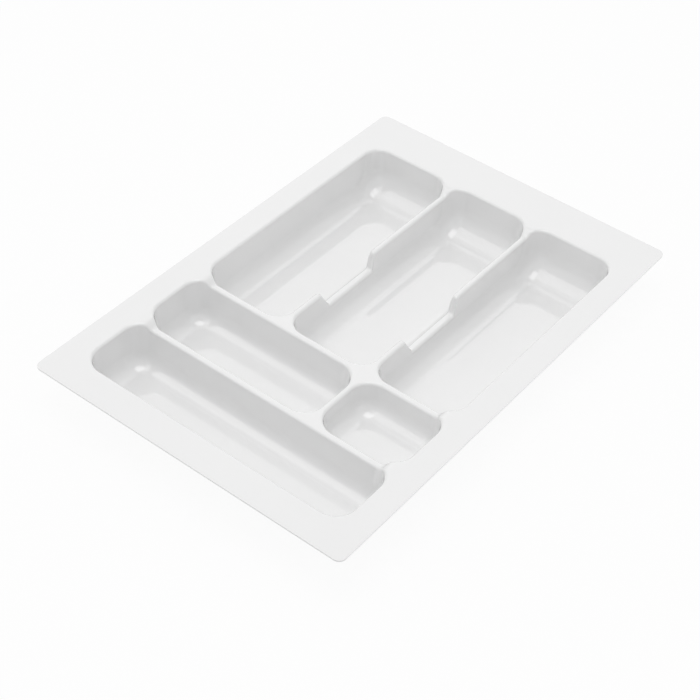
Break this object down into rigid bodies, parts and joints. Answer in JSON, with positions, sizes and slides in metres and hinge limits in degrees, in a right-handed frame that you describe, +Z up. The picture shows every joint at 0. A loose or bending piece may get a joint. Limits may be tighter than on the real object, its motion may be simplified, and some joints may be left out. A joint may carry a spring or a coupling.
{
  "type": "cutlery tray",
  "caption": "Formed plastic drawer insert with a flat rim, long and short wells for cutlery, lowered dividers and finger notches.",
  "frame": {"origin": "middle of the tray's bounding box, on the plane it stands on", "axes": "+X to the right across the tray, +Y along its length towards the long wells, +Z up"},
  "size_m": [0.33, 0.49, 0.0487],
  "materials": {
    "white_plastic": "gloss"
  },
  "bodies": {
    "root": {"rim": "white_plastic", "well_long_left": "white_plastic", "well_long_middle": "white_plastic", "well_long_right": "white_plastic", "well_medium": "white_plastic", "well_small": "white_plastic", "well_cross": "white_plastic", "long_divider_left": "white_plastic", "long_divider_right": "white_plastic", "cross_divider_back": "white_plastic", "cross_divider_front": "white_plastic", "short_divider": "white_plastic", "divider_ramp_left": "white_plastic", "divider_ramp_right": "white_plastic"}
  },
  "joints": []
}
